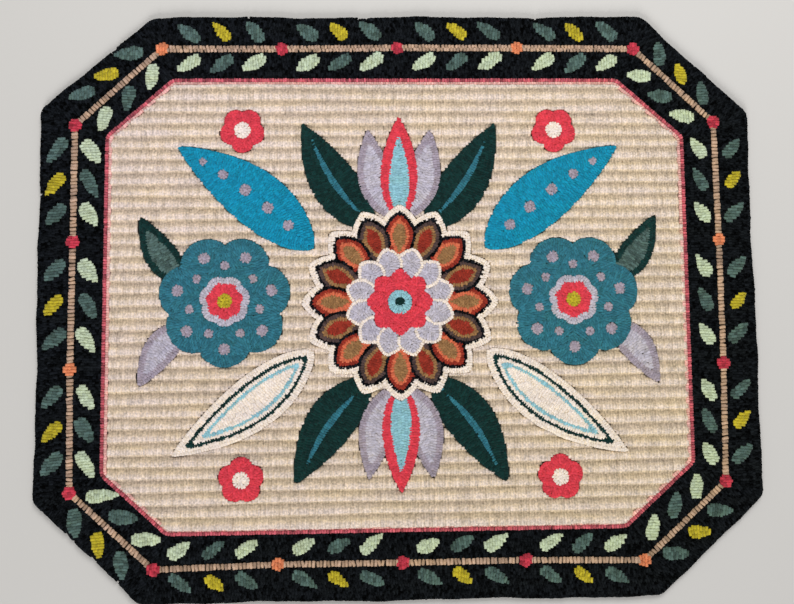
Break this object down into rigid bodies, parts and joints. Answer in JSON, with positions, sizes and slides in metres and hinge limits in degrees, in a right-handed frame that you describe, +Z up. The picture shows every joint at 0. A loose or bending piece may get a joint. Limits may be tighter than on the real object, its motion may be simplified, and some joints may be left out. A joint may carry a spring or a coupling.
{
  "type": "hooked rug",
  "caption": "Flat hooked wool rug, a rectangle with cut corners: looped pile on a linen foundation, a vine-and-leaf border and flowers on a ground hooked in raised ribs",
  "frame": {"origin": "middle of the flat underside, where the rug rests on the floor", "axes": "+X along the long sides, to the right as the rug is read; +Y towards the rug's far side; +Z up out of the pile"},
  "size_m": [0.7666, 0.624, 0.007],
  "materials": {
    "wool_pile": "matte looped wool pile"
  },
  "bodies": {
    "root": {"hooked_rug": "wool_pile"}
  },
  "joints": []
}
